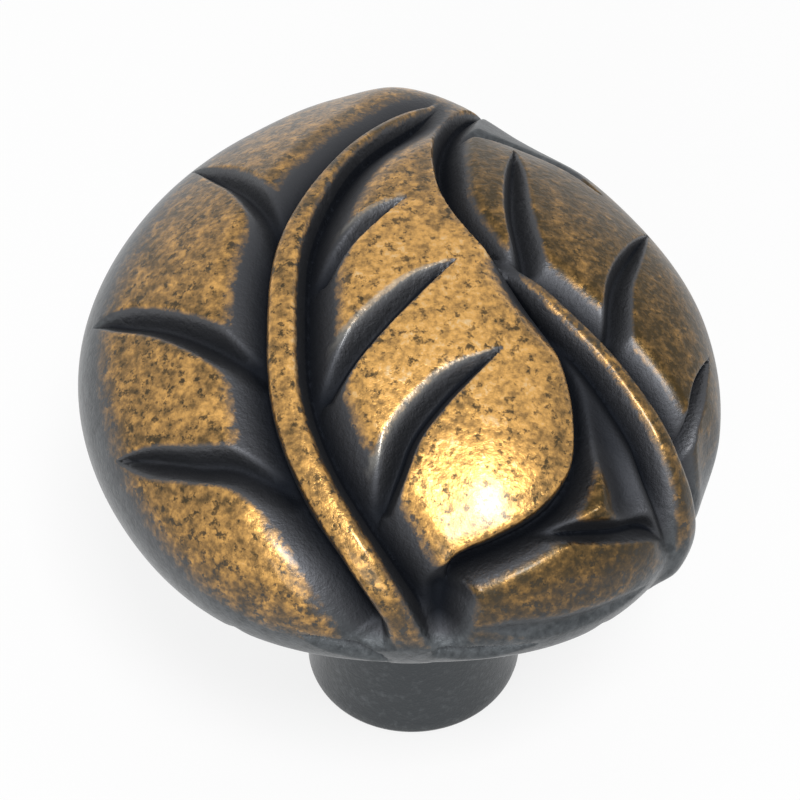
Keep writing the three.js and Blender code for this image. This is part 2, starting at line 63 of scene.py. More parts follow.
# Each kind of cut: full depth, the half width of its round bottom, and how gently its banks
# ease out at the top
cutKinds = {
    "vein": (1.1, 0.35, 1.7), "valley": (1.45, 0.3, 1.7),
    "leafEdge": (1.75, 0.35, 1.7), "leafFoot": (1.75, 0.35, 2.4),
    "recess": (1.2, 1.3, 1.7), "gully": (1.5, 1.2, 1.9),
    "crease": (1.1, 0.3, 1.7), "rolledEdge": (0.8, 0.2, 1.7),
    "fold": (0.25, 0.3, 2.2), "rimHollow": (0.85, 0.2, 1.7),
}

# The leaf drawing, laid flat: x and y in millimetres from the crown along the surface. A cut has
# its kind and the widths of its left and right banks, seen along its path. Its point is
# (x, y, share of full depth and width)
leafCuts = [
    # side veins of the front leaf's left half
    ("vein", 1.25, 1.1, [(-11.9, 12, 0), (-9.9, 9.4, 0.75), (-8.3, 7, 0.95), (-7, 4.2, 1.1),
                         (-6.3, 1.2, 1.2)]),
    ("vein", 1.2, 1.1, [(-18, 0.6, 0), (-15.5, -0.6, 0.8), (-12.9, -2.2, 0.95), (-10.2, -4.3, 1.1),
                        (-7.2, -7, 1.25)]),
    ("vein", 1.2, 1.2, [(-16.6, -9, 0), (-14, -10, 0.85), (-11.2, -10.9, 1), (-8.7, -11.6, 1.1),
                        (-5.9, -13.4, 1.25)]),
    # side veins of its right half, steep on the lower bank
    ("vein", 0.6, 1.35, [(0.9, 3.3, 0), (-0.5, 2.1, 0.6), (-1.8, 0.8, 0.85), (-2.95, -0.5, 1.05),
                         (-3.9, -1.9, 1.2)]),
    ("vein", 0.6, 1.4, [(3.3, -1.3, 0), (1.5, -2.8, 0.65), (0.2, -4.1, 0.9), (-1.15, -5.5, 1),
                        (-2.5, -7, 1.1), (-3.8, -8.7, 1.2)]),
    ("vein", 0.6, 1.5, [(5.2, -6.3, 0), (3.1, -8.1, 0.7), (1.75, -9.5, 0.9), (0.4, -11.2, 1),
                        (-0.35, -12.8, 1.1), (-1.2, -14.6, 1.2)]),
    # side veins of the second leaf's right half
    ("vein", 1.15, 1.0, [(7.5, 10.6, 0), (7.2, 7, 0.75), (6.9, 3, 1), (7, -1.2, 1.1)]),
    ("vein", 1.0, 1.0, [(16.4, 6, 0), (14.2, 2.4, 0.7), (12.3, -1.2, 1), (11.3, -5.4, 1.15)]),
    ("vein", 0.85, 0.8, [(18.4, -3.4, 0), (16.8, -6, 0.8), (16, -8.2, 1), (15.7, -10.6, 1.1)]),
    # edge of the front leaf, standing over the second leaf
    ("leafEdge", 2.2, 0.7, [(6.4, 18.2, 0.05), (5.6, 16.6, 0.25), (4.6, 14.9, 0.55),
                            (3.7, 12.9, 0.8), (3.1, 10.7, 0.95), (2.8, 8.4, 1), (2.8, 6.2, 1),
                            (3, 4, 0.9), (3.8, 1.6, 0.75), (5.2, -0.8, 0.6)]),
    ("leafFoot", 1.9, 0.8, [(5.2, -0.8, 0.6), (6.9, -3.5, 0.75), (8.2, -6, 0.9), (8.8, -8.6, 1),
                            (8.6, -11.5, 1), (7.8, -13.2, 1), (6.4, -14.7, 1), (4.5, -16, 1),
                            (2.4, -17.2, 1), (1.95, -18.3, 0.5), (1.85, -19, 0)]),
    # the second leaf's margin
    ("rolledEdge", 1.3, 0.45, [(3.2, 10.2, 0.6), (4.8, 11, 1), (6.8, 11.4, 1), (9, 11.1, 1),
                               (11.2, 10, 0.8), (13.6, 8, 0)]),
    # sunken left half of the second leaf, and the crease over its lower lobe
    ("recess", 2.8, 2.8, [(8.6, -5.8, 0.55), (9.4, -7.4, 0.75), (10.2, -9.2, 0.95),
                          (10.8, -11.2, 1), (11.3, -13, 1)]),
    ("crease", 1.4, 0.6, [(5.6, -15.6, 0.5), (7, -15.3, 0.8), (8.6, -15.1, 0.95), (10.8, -14.9, 1),
                          (13, -14.6, 1), (14.8, -15.2, 0)]),
    # valley between the stalk and the lower lobe
    ("gully", 2.5, 2.5, [(2.3, -16.9, 0.1), (1.95, -17.7, 0.6), (1.7, -18.6, 1), (1.6, -19.4, 1),
                         (1.6, -20.5, 0.95)]),
    # crease under the lower lobe, and the hollows beside the stalk under the rim
    ("fold", 1.3, 0.9, [(3.4, -20.6, 0.4), (5.4, -20.5, 1), (8.2, -20, 1), (11.6, -18.8, 0.8),
                        (14.4, -17.4, 0)]),
    ("rimHollow", 0.4, 1.3, [(-7, -20.7, 0), (-5.4, -21.2, 0.8), (-3.7, -21.9, 1),
                             (-2.2, -22.8, 0.8)]),
    ("rimHollow", 0.4, 1.2, [(1.4, -22.4, 0.6), (3.2, -22.2, 1), (5, -22, 0.9), (7.6, -21.5, 0)]),
]

# A rib has the widths of its valley's two banks, then how boxy its own two flanks are. Its point
# is (x, y, share of half width, height of the crest, share of the valley's depth)
leafRibs = [
    (3.1, 3, 4.5, 4.5, [(3.4, 16.8, 0.1, -0.5, 0.05), (2.2, 14.2, 0.22, -0.2, 0.5),
                        (0.3, 11.4, 0.38, -0.1, 0.9), (-2.5, 7.7, 0.5, -0.1, 1),
                        (-4.5, 3.9, 0.78, -0.1, 1), (-5.7, 0, 0.95, 0, 1),
                        (-6.05, -4.5, 1.05, 0, 1), (-5.85, -8.9, 1.05, 0, 1),
                        (-4.6, -12.9, 1.05, 0, 1), (-2.5, -16.8, 1.1, 0, 1),
                        (-1, -19.7, 1.15, -0.05, 1), (-0.6, -20.9, 1.2, -0.05, 0.6),
                        (-0.4, -22.1, 1.3, -0.05, 0), (-0.3, -23.4, 1.4, -0.05, 0)]),
    (2.0, 1.9, 4.5, 2, [(4.8, -0.3, 0.15, -1.1, 0.1), (7, -2.5, 0.6, -0.3, 0.7),
                        (8.7, -4.3, 0.8, -0.2, 0.9), (10.6, -6.2, 0.85, -0.15, 1),
                        (12.1, -8.1, 0.95, -0.1, 1), (13.2, -9.7, 1.05, -0.05, 1),
                        (14.3, -11.4, 1.2, 0, 1), (15.6, -13.2, 1.4, 0.2, 0.6),
                        (16.8, -14.9, 1.45, 0.45, 0.1), (17.2, -16.6, 1.3, 0.5, 0),
                        (16.4, -18.2, 0.9, 0.2, 0)]),
]

# A swell is a low round rise, or a dip where its height is negative: (x, y, radius, height)
leafSwells = [
    (9.4, -13.3, 2.4, 0.35), (5.2, -12, 5, 0.3), (1.5, 16, 4.5, 0.35), (8.5, 13.5, 5, -0.3),
    (18, -10, 3.5, -0.5),
]


def smoothStep(low, high, values):
    t = np.clip((values - low) / (high - low), 0, 1)
    return t * t * (3 - 2 * t)


# Half profile of the plain knob, as arcs by centre and radius. A turn is that of the outward
# normal from +Z
rimEnd = math.radians(knobForm["rimTurn"])
lipEnd = math.radians(knobForm["undersideTurn"])


def onArc(centre, radius, turn):
    return (centre[0] + radius * math.sin(turn), centre[1] + radius * math.cos(turn))


def shapeProfile():
    form = knobForm
    crown, rim, lip = form["crownRadius"], form["rimRadius"], form["lipRadius"]
    crownTurn = math.asin((form["headRadius"] - rim) / (crown - rim))
    crownCentre = (0, form["knobHeight"] - crown)
    rimCentre = onArc(crownCentre, crown - rim, crownTurn)
    lipCentre = onArc(rimCentre, rim - lip, rimEnd)
    lipFoot = onArc(lipCentre, lip, lipEnd)
    fillet = form["neckFillet"]
    topRadius = form["neckRadius"] + fillet * (1 - math.sin(lipEnd))
    top = lipFoot[1] + (lipFoot[0] - topRadius) * math.tan(lipEnd)
    filletCentre = (form["neckRadius"] + fillet, top + fillet * math.cos(lipEnd))
    height = filletCentre[1] - form["footEdge"]
    run = form["footRadius"] - form["neckRadius"]
    flare = (height ** 2 + run ** 2) / (2 * run)
    flareTurn = math.asin(height / flare)
    flareCentre = (form["neckRadius"] + flare, filletCentre[1])
    wide = crown * crownTurn + rim * (math.pi / 2 - crownTurn)
    slope = (lipFoot[0] - topRadius) / -math.cos(lipEnd)
    # each stretch: length, centre, signed radius and first turn. A straight one has its start
    # for a centre and 0 for a radius
    stretches = [
        (crown * crownTurn, crownCentre, crown, 0),
        (rim * (rimEnd - crownTurn), rimCentre, rim, crownTurn),
        (lip * (lipEnd - rimEnd), lipCentre, lip, rimEnd),
        (slope, lipFoot, 0, lipEnd),
        (fillet * (lipEnd - math.pi / 2), filletCentre, -fillet, lipEnd),
        (flare * flareTurn, flareCentre, -flare, math.pi / 2),
    ]
    return stretches, wide, lipFoot[0]


profileStretches, wideArc, lipFootRadius = shapeProfile()
stretchEnds = np.cumsum([stretch[0] for stretch in profileStretches])
lipArc = stretchEnds[2]
drawingScale = wideArc / carvingForm["drawingRadius"]


# Radius, height and turn at distances from the crown along the profile
def profileAt(arcs):
    radius, height, turn = (np.zeros_like(arcs) for _ in range(3))
    start = 0
    for length, centre, bend, first in profileStretches:
        here = arcs >= start
        along = arcs[here] - start
        if bend:
            turn[here] = first + along / bend
            radius[here] = centre[0] + bend * np.sin(turn[here])
            height[here] = centre[1] + bend * np.cos(turn[here])
        else:
            turn[here] = first
            radius[here] = centre[0] + along * math.cos(first)
            height[here] = centre[1] - along * math.sin(first)
        start += length
    return radius, height, turn


# A smooth curve through points, as short straight steps
def traceCurve(points, steps, closed=False):
    points = np.array(points, float)
    if closed:
        ends = np.vstack([points[-1:], points, points[:2]])
    else:
        ends = np.vstack([2 * points[0] - points[1], points, 2 * points[-1] - points[-2]])
    spans = len(ends) - 3
    before, here, there, after = (ends[i:i + spans, None, :] for i in range(4))
    t = (np.arange(steps) / steps)[None, :, None]
    curve = 0.5 * (2 * here + (there - before) * t
                   + (2 * before - 5 * here + 4 * there - after) * t ** 2
                   + (3 * here - before - 3 * there + after) * t ** 3)
    last = points[:1] if closed else points[-1:]
    return np.vstack([curve.reshape(-1, points.shape[1]), last])


planPoints = [[share] for share in knobForm["planShares"]]
planTrace = traceCurve(planPoints, knobForm["planSteps"], closed=True)[:, 0]


def planShare(azimuth):
    turns = np.mod(azimuth / (2 * math.pi), 1)
    return np.interp(turns, np.linspace(0, 1, len(planTrace)), planTrace)


# Signed distance to a traced path, left of it positive, and the path's other values at the
# nearest place
def nearestOnPath(trace, x, y):
    best = np.full(x.shape, np.inf)
    side = np.ones_like(x)
    values = np.zeros((len(x), trace.shape[1] - 2))
    for start, end in zip(trace[:-1], trace[1:]):
        run = end - start
        offX, offY = x - start[0], y - start[1]
        share = np.clip((offX * run[0] + offY * run[1]) / (run[0] ** 2 + run[1] ** 2), 0, 1)
        awayX, awayY = offX - share * run[0], offY - share * run[1]
        distance = np.hypot(awayX, awayY)
        closer = distance < best
        best[closer] = distance[closer]
        side[closer] = np.where(run[0] * awayY - run[1] * awayX < 0, -1, 1)[closer]
        values[closer] = start[2:] + share[closer, None] * run[2:]
    return best * side, values


# Bank of a cut: 1 at its rounded bottom, steep beside it and easing out at the top
def bank(distance, width, bottom, ease):
    width = np.maximum(width, tiny)
    reach = np.hypot(distance, bottom) / width
    return (np.maximum(1 - reach, 0) / (1 - bottom / width)) ** ease


# A path of the drawing in short steps. Its shares of width and depth stop at zero, where the
# smooth curve would swing past it
def tracePath(points):
    trace = traceCurve(points, carvingForm["stepsPerSpan"])
    trace[:, 2::2] = np.maximum(trace[:, 2::2], 0)
    return trace


tracedCuts = [(kind, left, right, tracePath(path)) for kind, left, right, path in leafCuts]
tracedRibs = [(*sides, tracePath(path)) for *sides, path in leafRibs]
rolledEdgeTrace = next(trace for kind, *_, trace in tracedCuts if kind == "rolledEdge")
leafEdgeTrace = np.vstack([trace for kind, *_, trace in tracedCuts
                           if kind in ("leafEdge", "leafFoot")])


def withinReach(trace, reach, x, y):
    low, high = trace[:, :2].min(axis=0) - reach, trace[:, :2].max(axis=0) + reach
    return np.flatnonzero((x > low[0]) & (x < high[0]) & (y > low[1]) & (y < high[1]))


# Distance from a rib's middle, the rib's half width there, and its other values
def acrossRib(trace, x, y):
    distance, values = nearestOnPath(trace, x, y)
    return distance, np.maximum(carvingForm["ribHalfWidth"] * values[:, 0], tiny), values


# Height of the carving over the plain head, in millimetres, at points of the drawing
def carving(x, y, swells=True):
    form = carvingForm
    cubes = np.zeros_like(x)  # cuts that meet blend: the cube root of the sum of their cubes
    crests = np.full_like(x, -np.inf)
    for kind, left, right, trace in tracedCuts:
        depth, bottom, ease = cutKinds[kind]
        near = withinReach(trace, max(left, right) * trace[:, 2].max(), x, y)
        distance, values = nearestOnPath(trace, x[near], y[near])
        share = np.maximum(values[:, 0], form["leastShare"])
        width = np.where(distance > 0, left, right) * share
        cubes[near] += (depth * share * bank(np.abs(distance), width, bottom * share, ease)) ** 3
    depth, bottom, ease = cutKinds["valley"]
    for left, right, leftFlank, rightFlank, trace in tracedRibs:
        reach = max(left, right) + form["ribHalfWidth"] * trace[:, 2].max()
        near = withinReach(trace, reach, x, y)
        distance, half, values = acrossRib(trace, x[near], y[near])
        away = np.abs(distance)
        floor = depth * values[:, 2]
        width = np.where(distance > 0, left, right)
        cubes[near] += (floor * bank(np.maximum(away - half, 0), width, bottom, ease)) ** 3
        crest = values[:, 1]
        boxy = np.where(distance > 0, leftFlank, rightFlank)
        rib = crest - (crest + floor + form["ribFlank"]) * (away / half) ** boxy
        crests[near] = np.maximum(crests[near], np.where(away < half, rib, -np.inf))
    rise = -np.cbrt(cubes)
    for centreX, centreY, radius, height in leafSwells if swells else []:
        away = np.hypot(x - centreX, y - centreY) / radius
        rise += height * np.maximum(1 - away ** 2, 0) ** 2
    fade = 1 - smoothStep(form["fadeStart"], form["fadeEnd"], np.hypot(x, y))
    # a rib meets its valley in a small fillet
    fillet = form["ribFillet"]
    joint = np.maximum(fillet - np.abs(rise - crests), 0)
    return (np.maximum(rise, crests) + joint ** 2 / (4 * fillet)) * fade


# Places on the skin, in metres, from distances along the profile, azimuths and heights of the
# carving
def skinPlaces(arcs, azimuth, rise):
    radius, height, turn = profileAt(arcs)
    neck = knobForm["neckRadius"]
    belowLip = np.clip((radius - neck) / (lipFootRadius - neck), 0, 1) ** 2
    weight = radius / knobForm["headRadius"] * np.where(arcs > lipArc, belowLip, 1)
    spread = 1 + (planShare(azimuth) - 1) * weight
    out = (radius + np.sin(turn) * rise) * spread
    up = height + np.cos(turn) * rise
    return np.stack([out * np.cos(azimuth), out * np.sin(azimuth), up], axis=1) * mm


def headPlaces(x, y):
    return skinPlaces(np.hypot(x, y) * drawingScale, np.arctan2(y, x), carving(x, y))


# The head: a flat disc of triangles in the leaf drawing. An edge longer than the shortest is
# halved where its middle strays from the carving, in millimetres, once for each shortest length
headMesh = {"discHalvings": 6, "stray": 0.004, "shortest": [0.24, 0.12], "sharpAngle": 50}


def flatDisc(bm):
    bmesh.ops.create_circle(bm, cap_ends=True, cap_tris=True, segments=6, radius=1)
    for _ in range(headMesh["discHalvings"]):
        bmesh.ops.subdivide_edges(bm, edges=bm.edges[:], cuts=1, use_grid_fill=True)
    # the six-sided disc becomes round, ring by ring
    sixth = math.pi / 3
    apothem = math.cos(sixth / 2)
    for vert in bm.verts:
        turn = math.atan2(vert.co.y, vert.co.x)
        sector = math.floor(turn / sixth + tiny)
        inSector = turn - (sector + 0.5) * sixth
        ring = vert.co.xy.length * math.cos(inSector) / apothem
        along = 0.5 + math.tan(inSector) * apothem
        azimuth = (sector + along) * sixth
        reach = ring * carvingForm["fadeEnd"]
        vert.co = (reach * math.cos(azimuth), reach * math.sin(azimuth), 0)


def refineDisc(bm, shortest):
    spots = np.array([vert.co[:2] for vert in bm.verts])
    bm.verts.index_update()
    inner = [edge for edge in bm.edges if len(edge.link_faces) == 2]
    ends = np.array([[vert.index for vert in edge.verts] for edge in inner])
    places = headPlaces(spots[:, 0], spots[:, 1])
    middle = spots[ends].mean(axis=1)
    carved = headPlaces(middle[:, 0], middle[:, 1])
    stray = np.linalg.norm(carved - places[ends].mean(axis=1), axis=1)
    length = np.linalg.norm(spots[ends[:, 0]] - spots[ends[:, 1]], axis=1)
    wanted = np.flatnonzero((stray > headMesh["stray"] * mm) & (length > shortest))
    bmesh.ops.subdivide_edges(bm, edges=[inner[i] for i in wanted], cuts=1, use_grid_fill=True)
    bmesh.ops.triangulate(bm, faces=bm.faces[:])


# Lower skin: rows of the underside, of the fillet under it and of the flared stem
lowerRings = {"undersideRows": 12, "filletRows": 8, "flareRows": 26}


# A new ring, extruded from the open edge of the skin
def dropRing(bm, rim):
    made = bmesh.ops.extrude_edge_only(bm, edges=rim)["geom"]
    verts = [item for item in made if isinstance(item, bmesh.types.BMVert)]
    ring = set(verts)
    edges = [item for item in made
             if isinstance(item, bmesh.types.BMEdge) and ring.issuperset(item.verts)]
    return verts, edges


# The skin from the edge of the disc down to the foot, each row at its distance along the profile
def lowerSkin(bm, arcLayer):
    rim = [edge for edge in bm.edges if edge.is_boundary]
    underside, fillet, flare = stretchEnds[3:]
    stops = [carvingForm["fadeEnd"] * drawingScale, underside, fillet, flare]
    arcs = []
    for start, end, rows in zip(stops[:-1], stops[1:], lowerRings.values()):
        arcs.extend(np.linspace(start, end, rows + 1)[1:])
    for arc in arcs:
        verts, rim = dropRing(bm, rim)
        azimuth = np.array([math.atan2(vert.co.y, vert.co.x) for vert in verts])
        places = skinPlaces(np.full(len(verts), arc), azimuth, np.zeros(len(verts)))
        for vert, place in zip(verts, places):
            vert.co = place
            vert[arcLayer] = arc
    return rim


# A round ring of the foot or the threaded hole: radius and height in millimetres
def roundRing(bm, rim, radius, height, arcLayer, arc):
    verts, rim = dropRing(bm, rim)
    for vert in verts:
        azimuth = math.atan2(vert.co.y, vert.co.x)
        vert.co = Vector((radius * math.cos(azimuth), radius * math.sin(azimuth), height)) * mm
        vert[arcLayer] = arc
    return verts, rim


# The thread deepens from the chamfer to its first height and fades from its last one to the end
# of the hole, in millimetres. Its groove is a triangle, too deep by the excess and cut flat
holeForm = {"columns": 64, "rowsPerTurn": 8, "firstThread": 0.9, "lastThread": 12.2,
            "grooveExcess": 1.25}


def threadedHole(bm, footRim, arcLayer, arc):
    form = knobForm
    mouth = form["boreRadius"] + form["boreChamfer"]
    ring = bmesh.ops.create_circle(bm, segments=holeForm["columns"], radius=mouth * mm)["verts"]
    rim = list({edge for vert in ring for edge in vert.link_edges})
    for vert in ring:
        vert[arcLayer] = arc
    bmesh.ops.bridge_loops(bm, edges=footRim + rim)
    _, rim = roundRing(bm, rim, form["boreRadius"], form["boreChamfer"], arcLayer, arc)
    pitch = form["threadPitch"]
    rows = round((form["boreDepth"] - form["boreChamfer"]) / pitch * holeForm["rowsPerTurn"])
    for height in np.linspace(form["boreChamfer"], form["boreDepth"], rows + 1)[1:]:
        verts, rim = roundRing(bm, rim, form["boreRadius"], height, arcLayer, arc)
        started = smoothStep(form["boreChamfer"], holeForm["firstThread"], height)
        ended = 1 - smoothStep(holeForm["lastThread"], form["boreDepth"], height)
        for vert in verts:
            turns = height / pitch + math.atan2(vert.co.y, vert.co.x) / (2 * math.pi)
            wave = min(holeForm["grooveExcess"] * abs(2 * (turns % 1) - 1), 1)
            depth = form["threadDepth"] * wave * started * ended
            vert.co.xy *= 1 + depth / form["boreRadius"]
    pointTurn = math.radians(form["drillPointAngle"] / 2)
    point = form["boreDepth"] + form["boreRadius"] / math.tan(pointTurn)
    verts, _ = dropRing(bm, rim)
    bmesh.ops.pointmerge(bm, verts=verts, merge_co=(0, 0, point * mm))


# How the finish has worn, in places and millimetres of the leaf drawing. A range is where a
# shade starts to change and where it has changed
wearForm = {
    "closeRing": 0.4, "wideRing": 1.5, "ringSteps": 6,
    "thumb": (-0.5, -7), "thumbReach": (3, 20),
    "rubbedCentre": (6.5, -4.5), "rolledBand": 8, "rolledEdge": (-0.2, 0.3), "rolledGrowth": 1.5,
    "recessSpot": (9.8, -12.9), "recessReach": 2.6, "recessWear": 0.36,
    "secondLeaf": (-0.4, 0.4), "secondLeafFade": (20, 24), "ribWear": 0.7,
    # bankTop to oneSided, clearOfRib and the shoulder entries place a painted highlight, a silver
    # glint
    "bankTop": (0.02, 0.1), "bankFoot": (0.12, 0.4), "oneSided": 2,
    "clearOfRib": (1.0, 2.4), "ribSide": (0.8, 1.1),
    "shoulder": 0.85, "shoulderWidth": 0.25, "shoulderStart": (0.35, 0.7),
}


# Mean height of the carving on a ring round each place, to tell hollows from edges
def ringHeight(x, y, radius):
    total = np.zeros_like(x)
    for step in range(wearForm["ringSteps"]):
        turn = 2 * math.pi * (step + 0.5) / wearForm["ringSteps"]
        total += carving(x + radius * math.cos(turn), y + radius * math.sin(turn), swells=False)
    return total / wearForm["ringSteps"]


# Patina in the side veins lies right up to their edges: 1 on the path, 0 at the edge. The top
# of the gentler bank of a one-sided vein gets a painted highlight, a silver lamp glint
def veinShades(x, y):
    form = wearForm
    shade, paintedGlint = np.zeros_like(x), np.zeros_like(x)
    for kind, left, right, trace in tracedCuts:
        if kind != "vein":
            continue
        near = withinReach(trace, max(left, right) * trace[:, 2].max(), x, y)
        distance, values = nearestOnPath(trace, x[near], y[near])
        share = np.maximum(values[:, 0], carvingForm["leastShare"])
        width = np.where(distance > 0, left, right) * share
        inVein = np.maximum(1 - np.abs(distance) / width, 0)
        shade[near] = np.maximum(shade[near], inVein)
        if right > form["oneSided"] * left:
            top = smoothStep(*form["bankTop"], inVein) * (distance < 0)
            top *= 1 - smoothStep(*form["bankFoot"], inVein)
            paintedGlint[near] = np.maximum(paintedGlint[near], top)
    return shade, paintedGlint


# Places on a rib, places clear of both ribs, and the second one's left shoulder, which gets
# a painted highlight
def ribShades(x, y):
    form = wearForm
    onRib, clear = np.zeros_like(x), np.ones_like(x)
    for *_, trace in tracedRibs:
        distance, half, _ = acrossRib(trace, x, y)
        away = np.abs(distance)
        clear *= smoothStep(*form["clearOfRib"], away - half)
        onRib = np.maximum(onRib, 1 - smoothStep(*form["ribSide"], away / half))
    *_, secondRib = tracedRibs[1]
    distance, half, values = acrossRib(secondRib, x, y)
    offShoulder = np.abs(np.abs(distance) / half - form["shoulder"])
    shoulder = np.maximum(1 - offShoulder / form["shoulderWidth"], 0) * (distance > 0)
    return onRib, clear, shoulder * smoothStep(*form["shoulderStart"], values[:, 0])


# What the finish reads at points of the leaf drawing, each for an attribute of its own
def finishShades(x, y):
    form = wearForm

    def awayFrom(spot):
        return np.hypot(x - spot[0], y - spot[1])

    carved = carving(x, y, swells=False)
    veinShade, veinGlint = veinShades(x, y)
    onRib, clear, shoulder = ribShades(x, y)
    recessRub = np.maximum(1 - (awayFrom(form["recessSpot"]) / form["recessReach"]) ** 2, 0)
    secondLeaf = smoothStep(*form["secondLeaf"], nearestOnPath(leafEdgeTrace, x, y)[0])
    secondLeaf *= 1 - smoothStep(*form["secondLeafFade"], np.hypot(x, y))
    pastRoll, values = nearestOnPath(rolledEdgeTrace, x, y)
    rolled = smoothStep(*form["rolledEdge"], pastRoll)
    rolled *= np.minimum(form["rolledGrowth"] * values[:, 0], 1)
    return {
        "relief": np.minimum(carved + form["recessWear"] * recessRub, np.maximum(carved, 0)),
        "closeHollow": ringHeight(x, y, form["closeRing"]) - carved,
        "wideHollow": ringHeight(x, y, form["wideRing"]) - carved,
        "handled": 1 - smoothStep(*form["thumbReach"], awayFrom(form["thumb"])),
        "lowLeaf": secondLeaf * (1 - form["ribWear"] * onRib),
        "veinShade": veinShade * (1 - onRib),
        "paintedGlint": np.maximum(veinGlint * clear, shoulder),
        "outlying": awayFrom(form["rubbedCentre"]) + form["rolledBand"] * rolled * secondLeaf,
    }


footEdgeShares = (0.3, 0.7, 1)


# The foot's edge turns under to its flat face
def turnFootEdge(bm, rim, arcLayer, arc):
    edge = knobForm["footEdge"]
    for share in footEdgeShares:
        turn = share * math.pi / 2
        radius = knobForm["footRadius"] - edge * (1 - math.cos(turn))
        _, rim = roundRing(bm, rim, radius, edge * (1 - math.sin(turn)), arcLayer, arc)
    return rim


def castKnob():
    bm = bmesh.new()
    flatDisc(bm)
    for shortest in headMesh["shortest"]:
        refineDisc(bm, shortest)
    x, y = np.array([vert.co[:2] for vert in bm.verts]).T
    shades = finishShades(x, y)
    places = headPlaces(x, y)
    arcs = np.hypot(x, y) * drawingScale
    arcLayer = bm.verts.layers.float.new("arc")
    layers = [bm.verts.layers.float.new(name) for name in shades]
    for index, vert in enumerate(bm.verts):
        vert.co = places[index]
        vert[arcLayer] = arcs[index]
        for layer, column in zip(layers, shades.values()):
            vert[layer] = column[index]
    print("carved head:", len(bm.faces), "faces")
    rim = lowerSkin(bm, arcLayer)
    rim = turnFootEdge(bm, rim, arcLayer, stretchEnds[-1])
    threadedHole(bm, rim, arcLayer, stretchEnds[-1])
    bmesh.ops.recalc_face_normals(bm, faces=bm.faces[:])
    for face in bm.faces:
        face.smooth = True
    mesh = bpy.data.meshes.new("knobCasting")
    bm.to_mesh(mesh)
    bm.free()
    mesh.set_sharp_from_angle(angle=math.radians(headMesh["sharpAngle"]))
    piece = bpy.data.objects.new("knobCasting", mesh)
    bpy.context.scene.collection.objects.link(piece)
    print("whole casting:", len(mesh.polygons), "faces")
    return piece


# Colours are written as they look on a screen
def screenColour(code):
    parts = [int(code[i:i + 2], 16) / 255 for i in (0, 2, 4)]
    return tuple(c / 12.92 if c <= 0.04045 else ((c + 0.055) / 1.055) ** 2.4 for c in parts) + (1,)


def addNode(tree, kind, inputs=None, **settings):
    node = tree.nodes.new(kind)
    for name, value in settings.items():
        setattr(node, name, value)
    for name, value in (inputs or {}).items():
        socket = node.inputs[name]
        if isinstance(value, bpy.types.NodeSocket):
            tree.links.new(value, socket)
        else:
            socket.default_value = value
    return node


# Antique brass: brass plating over cast zinc, blackened, rubbed back where a hand touches it and
# lacquered, so that it is gold on the high places and brown to blue-black in the cuts.
# A pattern has its size in millimetres, detail and roughness. A range is read from its first
# value to its second, and gives its third to its fourth, or 0 to 1
brassLook = {
    # colours along their ramps
    "brass": [(0.06, "43361F"), (0.3, "6B5330"), (0.5, "9A7643"), (0.78, "D9A65C"), (1, "DCC092")],
    "thinPatina": [(0, "37301F"), (1, "5A4A2C")], "thickPatina": [(0, "4C4D50"), (1, "202329")],
    # silver is the colour of a painted highlight on vein banks and the second rib's shoulder
    "gunmetal": [(0.38, "393D40"), (0.62, "585C5F")], "silver": [(0, "5F5E5B"), (1, "A8A49A")],
    # the casting's grain and the specks of the finish
    "mottle": (1.0, 5, 0.65), "speck": (0.36, 3, 0.6), "fleck": (0.55, 4, 0.7),
    "sand": (0.13, 2, 0.6), "grainDepth": 0.042, "fleckDepth": 0.25, "sandShare": (0, 1, 0, 0.5),
    # how bright the brass is rubbed
    "mottleRub": (0.3, 0.7, -0.2, 0.2), "speckRub": (0.3, 0.62, -0.16, 0.16),
    "fleckRub": (0.37, 0.45, -0.4, 0), "edgeRub": (0.1, -0.14, 0.34, 0.46),
    "handRub": (0, 1, -0.07, 0.28), "lowLeafRub": (0, 1, 0, -0.22),
    "roundRub": (-0.1, -0.5, 0, -0.14),
    # how much patina is left. Rims, what is below them and the stem go by millimetres of profile
    "depth": (-0.03, -0.55), "slopes": (-0.05, 0.45, 0, 0.5), "rim": (16.5, 21.5, 0, 0.4),
    "outlying": (21.7, 24.8, 0, 0.85), "below": (21.3, 23.5), "veins": (0.02, 0.3, 0, 0.6),
    "second": (14.5, 18.5, 0.03, 0.2), "grainShare": -0.5, "patina": (0.14, 0.78),
    # what colour it has: thick in the cuts, thin on the brass, gunmetal on the rim and the stem,
    # with painted shade darkening the gunmetal down the stem
    "thick": (0.05, 0.4), "sunken": (-0.25, -1.45), "narrow": (0.08, 0.3),
    "greyRim": (19, 22), "greyOutlying": (22.1, 25), "greyShallow": (0.35, 0),
    "greyGrain": 0.5, "stemPaintedShade": (24, 36, 0, -0.14), "silverShare": 0.7,
    # gloss
    "patinaDulls": 0.25, "silverDulls": -0.3, "roughness": (0, 1.25, 0.36, 0.8),
    "lacquer": (0.2, 0.9, 0.4, 0), "lowLeafLacquer": (0, 1, 1, 0.4), "lacquerRoughness": 0.18,
}


